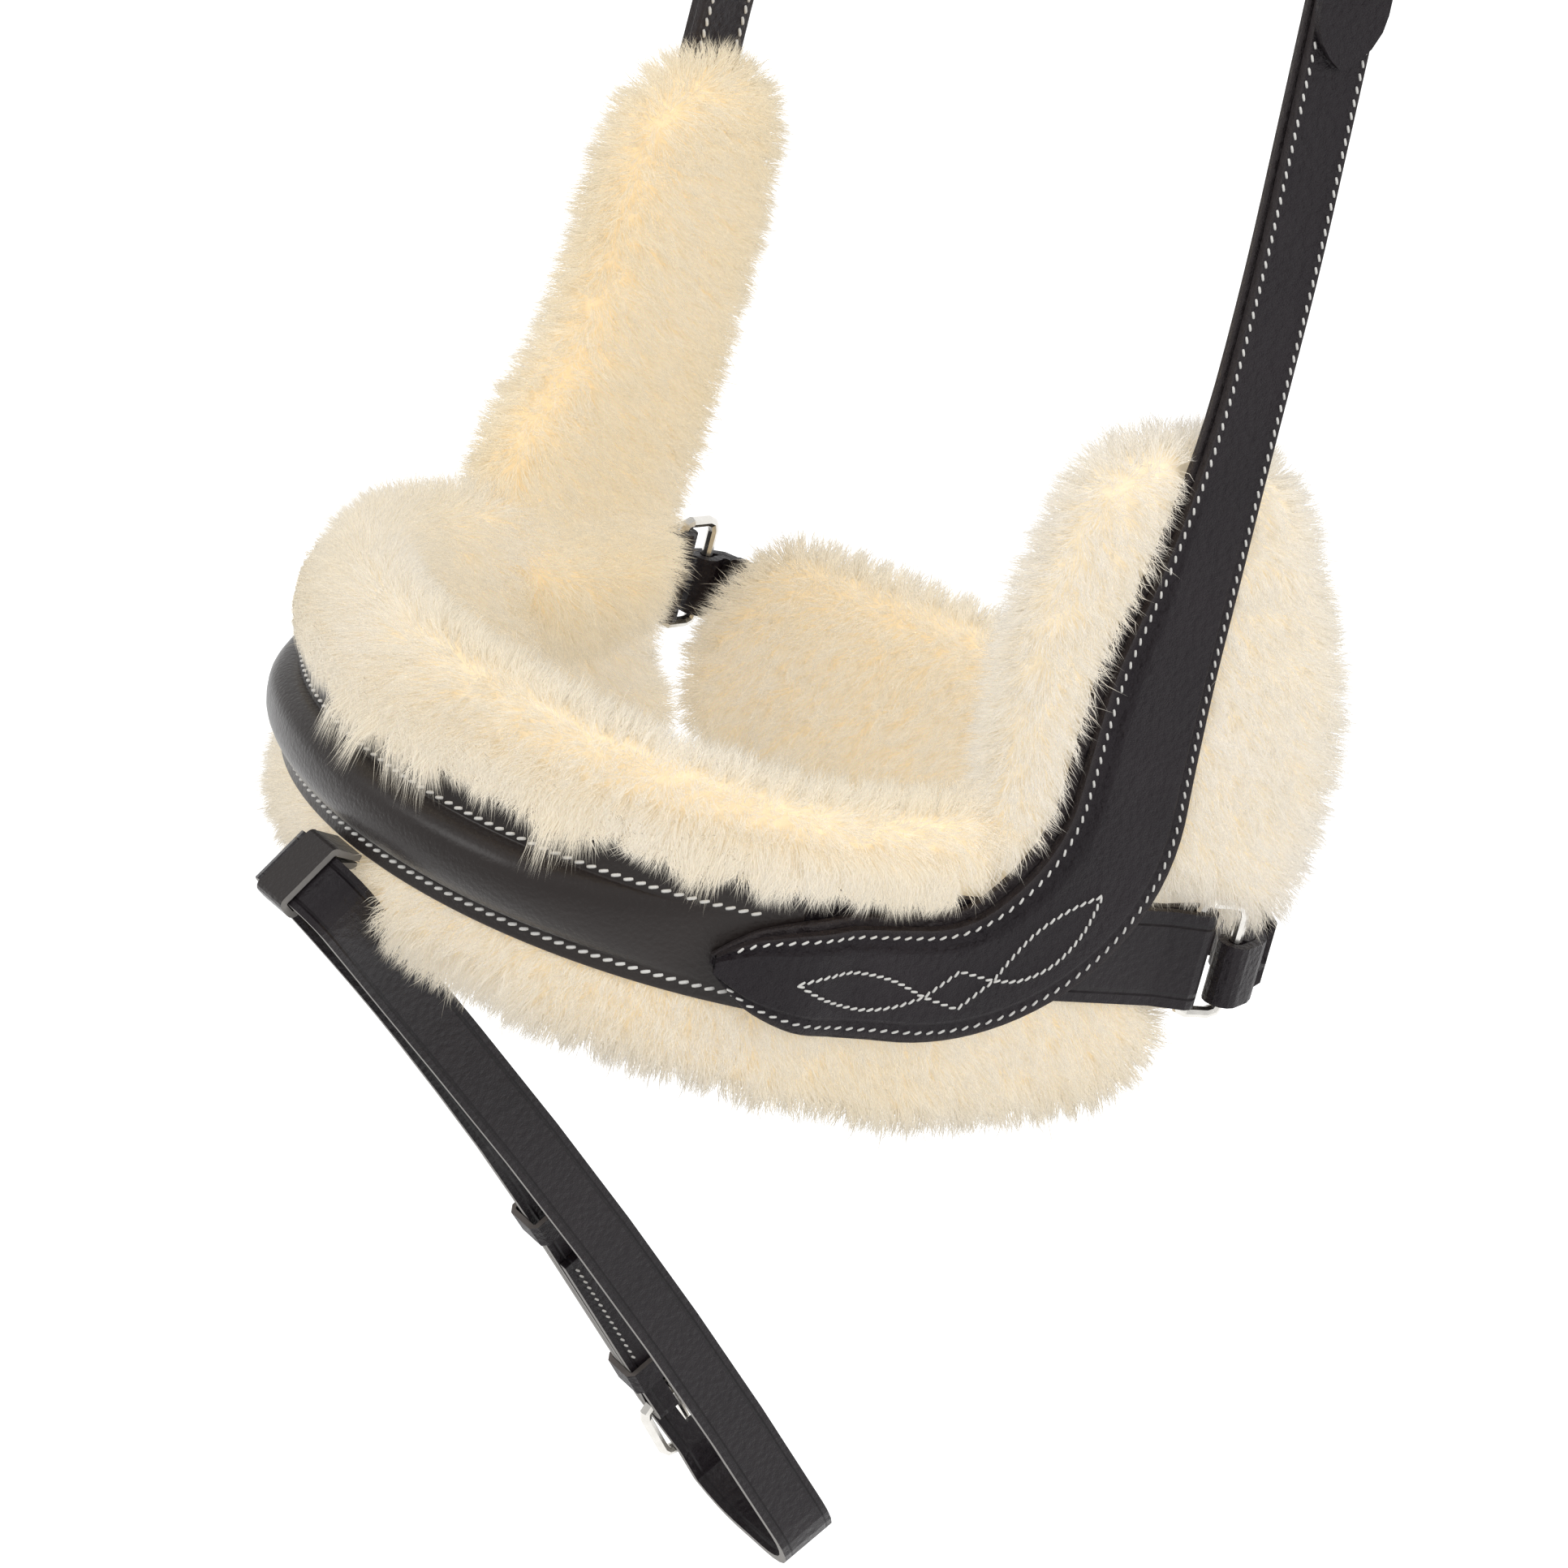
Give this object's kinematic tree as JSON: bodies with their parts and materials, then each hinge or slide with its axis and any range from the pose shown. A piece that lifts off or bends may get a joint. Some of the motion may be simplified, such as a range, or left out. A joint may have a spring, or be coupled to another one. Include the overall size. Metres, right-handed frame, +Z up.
{
  "type": "horse bridle",
  "caption": "Leather horse bridle noseband with sheepskin lining, shaped cheek pieces, headstrap over the poll, flash strap and padded chin strap, with nickel buckles.",
  "frame": {"origin": "middle of the headstrap's flat underside where it rests on the poll", "axes": "+Z up, -Y towards the horse's nose, +X to the horse's near (left) side; the cheek straps lean back by 16.6 degrees going up"},
  "size_m": [0.2238, 0.2687, 0.6098],
  "materials": {
    "dark_leather": "satin",
    "padded_leather": "satin",
    "sheepskin": "woolly",
    "foam": "matte",
    "nickel": "polished"
  },
  "bodies": {
    "noseband": {"nose_backing": "dark_leather", "nose_padding": "foam", "nose_cover": "padded_leather", "nose_fleece": "sheepskin", "near_cheek_backing": "dark_leather", "off_cheek_backing": "dark_leather", "near_cheek": "dark_leather", "off_cheek": "dark_leather", "near_cheek_fleece": "sheepskin", "off_cheek_fleece": "sheepskin", "near_ring_tab": "dark_leather", "off_ring_tab": "dark_leather", "near_ring": "nickel", "off_ring": "nickel", "sliphead": "dark_leather", "cheek_chape": "dark_leather", "cheek_buckle": "nickel", "cheek_keeper": "dark_leather", "chin_chape": "dark_leather", "chin_strap": "dark_leather", "chin_buckle": "nickel", "chin_keeper": "dark_leather", "chin_pad": "dark_leather", "chin_pad_loop_1": "dark_leather", "chin_pad_loop_2": "dark_leather", "chin_fleece": "sheepskin"},
    "flash": {"flash_tab": "padded_leather", "flash_strap": "dark_leather", "flash_buckle": "nickel", "flash_keeper": "dark_leather"},
    "flash_tongue_body": {"flash_tongue": "nickel"},
    "flash_runner_body": {"flash_runner": "dark_leather"},
    "cheek_tongue_body": {"cheek_tongue": "nickel"},
    "cheek_runner_body": {"cheek_runner": "dark_leather"},
    "chin_tongue_body": {"chin_tongue": "nickel"},
    "chin_runner_body": {"chin_runner": "dark_leather"}
  },
  "joints": [
    {"name": "flash_swing", "type": "hinge", "parent": "noseband", "child": "flash", "pos_m": [0, -0.24146, -0.38805], "axis": [1, 0, 0], "range_deg": [-20, 10]},
    {"name": "flash_tongue_hinge", "type": "hinge", "parent": "flash", "child": "flash_tongue_body", "pos_m": [-0.01944, -0.14888, -0.57186], "axis": [0, 0.8985, 0.4389], "range_deg": [0, 15]},
    {"name": "flash_runner_slide", "type": "slide", "parent": "flash", "child": "flash_runner_body", "axis": [-0.0802, 0.4759, -0.8758], "range_m": [-0.01, 0.01]},
    {"name": "cheek_tongue_hinge", "type": "hinge", "parent": "noseband", "child": "cheek_tongue_body", "pos_m": [0.09306, -0.04704, -0.1579], "axis": [0.18, 0.9466, -0.2674], "range_deg": [0, 15]},
    {"name": "cheek_runner_slide", "type": "slide", "parent": "noseband", "child": "cheek_runner_body", "axis": [-0.0785, 0.2848, 0.9554], "range_m": [-0.012, 0.012]},
    {"name": "chin_tongue_hinge", "type": "hinge", "parent": "noseband", "child": "chin_tongue_body", "pos_m": [0.06514, -0.06179, -0.42434], "axis": [0, -0.2857, -0.9583], "range_deg": [0, 15]},
    {"name": "chin_runner_slide", "type": "slide", "parent": "noseband", "child": "chin_runner_body", "axis": [-0.8988, 0.4201, -0.1252], "range_m": [-0.006, 0.005]}
  ]
}
